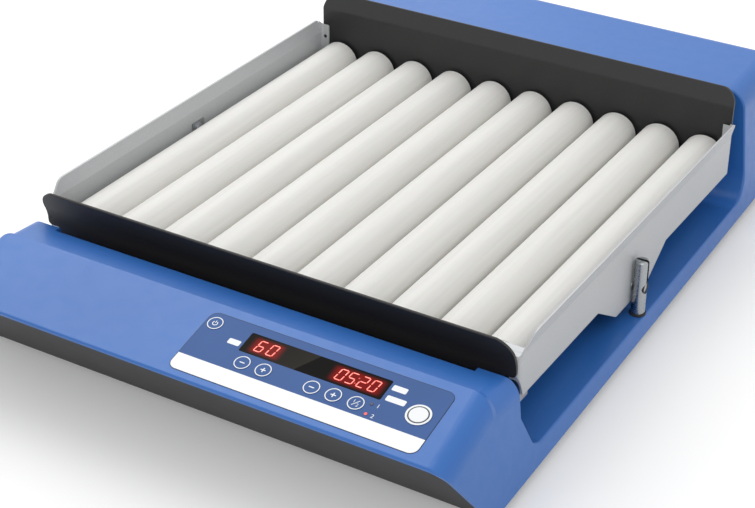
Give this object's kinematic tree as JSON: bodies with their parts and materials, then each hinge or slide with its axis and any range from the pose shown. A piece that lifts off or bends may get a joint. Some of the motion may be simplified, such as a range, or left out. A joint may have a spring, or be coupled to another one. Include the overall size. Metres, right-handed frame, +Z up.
{
  "type": "roller mixer",
  "caption": "Benchtop mixer that spins a row of horizontal rollers in a tray rocking on two posts, with a low housing, sloping key panel and number display.",
  "frame": {"origin": "centre of the footprint, on the table surface under the feet", "axes": "+Z up, +X to the operator's right, the control panel faces -Y, rollers run along Y"},
  "size_m": [0.4018, 0.5626, 0.1153],
  "materials": {
    "blue_cover": "satin",
    "dark_base": "matte",
    "steel": "polished",
    "rubber": "matte",
    "foil": "satin",
    "smoked_window": "gloss",
    "led_lens": "gloss",
    "board": "matte",
    "key_plastic": "satin",
    "black_sheet": "satin",
    "grey_sheet": "satin",
    "black_plastic": "matte",
    "roller_plastic": "satin",
    "motor_metal": "satin",
    "belt_rubber": "matte"
  },
  "bodies": {
    "housing": {"housing_cover": "blue_cover", "base_pan": "dark_base", "front_lock": "steel", "rubber_feet": "rubber", "base_screws": "steel", "control_foil": "foil", "display_window": "smoked_window", "display_modules": "dark_base", "status_leds": "led_lens", "control_board": "board", "power_inlet": "dark_base", "pivot_post_left": "steel", "pivot_post_right": "steel", "post_seals": "rubber", "pivot_bushes": "black_plastic", "rocker_yoke": "grey_sheet"},
    "tray": {"front_plate": "black_sheet", "rear_plate": "black_sheet", "side_plate_left": "grey_sheet", "side_plate_right": "grey_sheet", "plate_rivets": "black_sheet", "bearing_plate": "grey_sheet", "drip_pan": "grey_sheet", "pan_nuts": "steel", "pivot_pins": "steel", "roller_bushes": "black_plastic", "gear_motor": "motor_metal", "motor_screws": "steel", "roller_belts": "belt_rubber"},
    "roller_01": {"roller_tube_01": "roller_plastic", "roller_ends_01": "black_plastic"},
    "roller_02": {"roller_tube_02": "roller_plastic", "roller_ends_02": "black_plastic"},
    "roller_03": {"roller_tube_03": "roller_plastic", "roller_ends_03": "black_plastic"},
    "roller_04": {"roller_tube_04": "roller_plastic", "roller_ends_04": "black_plastic"},
    "roller_05": {"roller_tube_05": "roller_plastic", "roller_ends_05": "black_plastic"},
    "roller_06": {"roller_tube_06": "roller_plastic", "roller_ends_06": "black_plastic"},
    "roller_07": {"roller_tube_07": "roller_plastic", "roller_ends_07": "black_plastic"},
    "roller_08": {"roller_tube_08": "roller_plastic", "roller_ends_08": "black_plastic"},
    "roller_09": {"roller_tube_09": "roller_plastic", "roller_ends_09": "black_plastic"},
    "roller_10": {"roller_tube_10": "roller_plastic", "roller_ends_10": "black_plastic"},
    "drive_shaft": {"drive_shaft": "steel"},
    "crank": {"rocker_crank": "steel", "crank_bearing": "steel"},
    "key_power": {"key_power": "key_plastic"},
    "key_speed_minus": {"key_speed_minus": "key_plastic"},
    "key_speed_plus": {"key_speed_plus": "key_plastic"},
    "key_time_minus": {"key_time_minus": "key_plastic"},
    "key_time_plus": {"key_time_plus": "key_plastic"},
    "key_mode": {"key_mode": "key_plastic"},
    "key_start_stop": {"key_start_stop": "key_plastic"}
  },
  "joints": [
    {"name": "tray_rock", "type": "hinge", "parent": "housing", "child": "tray", "pos_m": [0, -0.0035, 0.0425], "axis": [1, 0, 0], "range_deg": [-4, 4]},
    {"name": "roller_01_spin", "type": "hinge", "parent": "tray", "child": "roller_01", "pos_m": [-0.162, 0, 0.06], "axis": [0, 1, 0], "continuous": true},
    {"name": "roller_02_spin", "type": "hinge", "parent": "tray", "child": "roller_02", "pos_m": [-0.126, 0, 0.06], "axis": [0, 1, 0], "continuous": true},
    {"name": "roller_03_spin", "type": "hinge", "parent": "tray", "child": "roller_03", "pos_m": [-0.09, 0, 0.06], "axis": [0, 1, 0], "continuous": true},
    {"name": "roller_04_spin", "type": "hinge", "parent": "tray", "child": "roller_04", "pos_m": [-0.054, 0, 0.06], "axis": [0, 1, 0], "continuous": true},
    {"name": "roller_05_spin", "type": "hinge", "parent": "tray", "child": "roller_05", "pos_m": [-0.018, 0, 0.06], "axis": [0, 1, 0], "continuous": true},
    {"name": "roller_06_spin", "type": "hinge", "parent": "tray", "child": "roller_06", "pos_m": [0.018, 0, 0.06], "axis": [0, 1, 0], "continuous": true},
    {"name": "roller_07_spin", "type": "hinge", "parent": "tray", "child": "roller_07", "pos_m": [0.054, 0, 0.06], "axis": [0, 1, 0], "continuous": true},
    {"name": "roller_08_spin", "type": "hinge", "parent": "tray", "child": "roller_08", "pos_m": [0.09, 0, 0.06], "axis": [0, 1, 0], "continuous": true},
    {"name": "roller_09_spin", "type": "hinge", "parent": "tray", "child": "roller_09", "pos_m": [0.126, 0, 0.06], "axis": [0, 1, 0], "continuous": true},
    {"name": "roller_10_spin", "type": "hinge", "parent": "tray", "child": "roller_10", "pos_m": [0.162, 0, 0.06], "axis": [0, 1, 0], "continuous": true},
    {"name": "drive_shaft_spin", "type": "hinge", "parent": "tray", "child": "drive_shaft", "pos_m": [0, 0, 0.02882], "axis": [0, 1, 0], "continuous": true},
    {"name": "crank_spin", "type": "hinge", "parent": "tray", "child": "crank", "pos_m": [0.016, 0.0265, 0.025], "axis": [1, 0, 0], "continuous": true},
    {"name": "key_power_press", "type": "slide", "parent": "housing", "child": "key_power", "axis": [0, 0.2272, -0.9738], "range_m": [0, 0.0004], "stiffness_N_per_m": 2000},
    {"name": "key_speed_minus_press", "type": "slide", "parent": "housing", "child": "key_speed_minus", "axis": [0, 0.2272, -0.9738], "range_m": [0, 0.0004], "stiffness_N_per_m": 2000},
    {"name": "key_speed_plus_press", "type": "slide", "parent": "housing", "child": "key_speed_plus", "axis": [0, 0.2272, -0.9738], "range_m": [0, 0.0004], "stiffness_N_per_m": 2000},
    {"name": "key_time_minus_press", "type": "slide", "parent": "housing", "child": "key_time_minus", "axis": [0, 0.2272, -0.9738], "range_m": [0, 0.0004], "stiffness_N_per_m": 2000},
    {"name": "key_time_plus_press", "type": "slide", "parent": "housing", "child": "key_time_plus", "axis": [0, 0.2272, -0.9738], "range_m": [0, 0.0004], "stiffness_N_per_m": 2000},
    {"name": "key_mode_press", "type": "slide", "parent": "housing", "child": "key_mode", "axis": [0, 0.2272, -0.9738], "range_m": [0, 0.0004], "stiffness_N_per_m": 2000},
    {"name": "key_start_stop_press", "type": "slide", "parent": "housing", "child": "key_start_stop", "axis": [0, 0.2272, -0.9738], "range_m": [0, 0.0004], "stiffness_N_per_m": 2500}
  ],
  "couplings": [
    {"joint": "roller_01_spin", "follows": "roller_05_spin", "ratio": 1},
    {"joint": "roller_02_spin", "follows": "roller_05_spin", "ratio": 1},
    {"joint": "roller_03_spin", "follows": "roller_05_spin", "ratio": 1},
    {"joint": "roller_04_spin", "follows": "roller_05_spin", "ratio": 1},
    {"joint": "roller_06_spin", "follows": "roller_05_spin", "ratio": 1},
    {"joint": "roller_07_spin", "follows": "roller_05_spin", "ratio": 1},
    {"joint": "roller_08_spin", "follows": "roller_05_spin", "ratio": 1},
    {"joint": "roller_09_spin", "follows": "roller_05_spin", "ratio": 1},
    {"joint": "roller_10_spin", "follows": "roller_05_spin", "ratio": 1},
    {"joint": "drive_shaft_spin", "follows": "roller_05_spin", "ratio": 2.75},
    {"joint": "crank_spin", "follows": "roller_05_spin", "ratio": 0.4}
  ]
}
